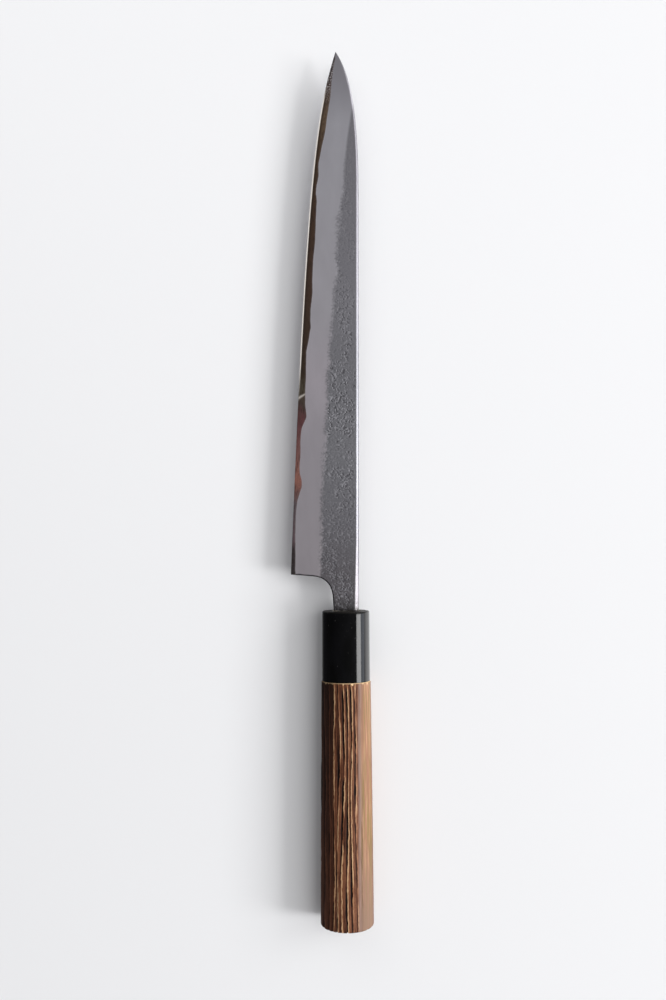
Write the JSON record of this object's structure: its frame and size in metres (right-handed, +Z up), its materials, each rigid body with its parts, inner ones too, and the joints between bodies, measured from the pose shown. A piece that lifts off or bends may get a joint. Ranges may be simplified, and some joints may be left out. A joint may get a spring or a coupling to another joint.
{
  "type": "slicing knife",
  "caption": "Long slim slicing knife: a three-layer steel blade with a pitted grey face, ground bevels and a bare core along the edge, glued into an oval burnt-wood handle with a black ferrule.",
  "frame": {"origin": "under the middle of the knife's box, at the height of the handle's underside", "axes": "+Y from the handle to the tip, +X from the edge to the spine, +Z up out of the blade's left face; the knife lies level on its right side"},
  "size_m": [0.0372, 0.401, 0.0215],
  "materials": {
    "core": "high-carbon steel with a brown patina, semi-polished",
    "cladding": "pitted pear-skin flats, satin bevels",
    "ferrule": "glossy black",
    "wood": "burnt and brushed open grain",
    "bedding": "amber resin",
    "seal": "dull grey resin bead"
  },
  "bodies": {
    "root": {"core_steel": "core", "left_cladding": "cladding", "right_cladding": "cladding", "ferrule": "ferrule", "handle_wood": "wood", "tang_bedding": "bedding", "mouth_seal": "seal"}
  },
  "joints": []
}
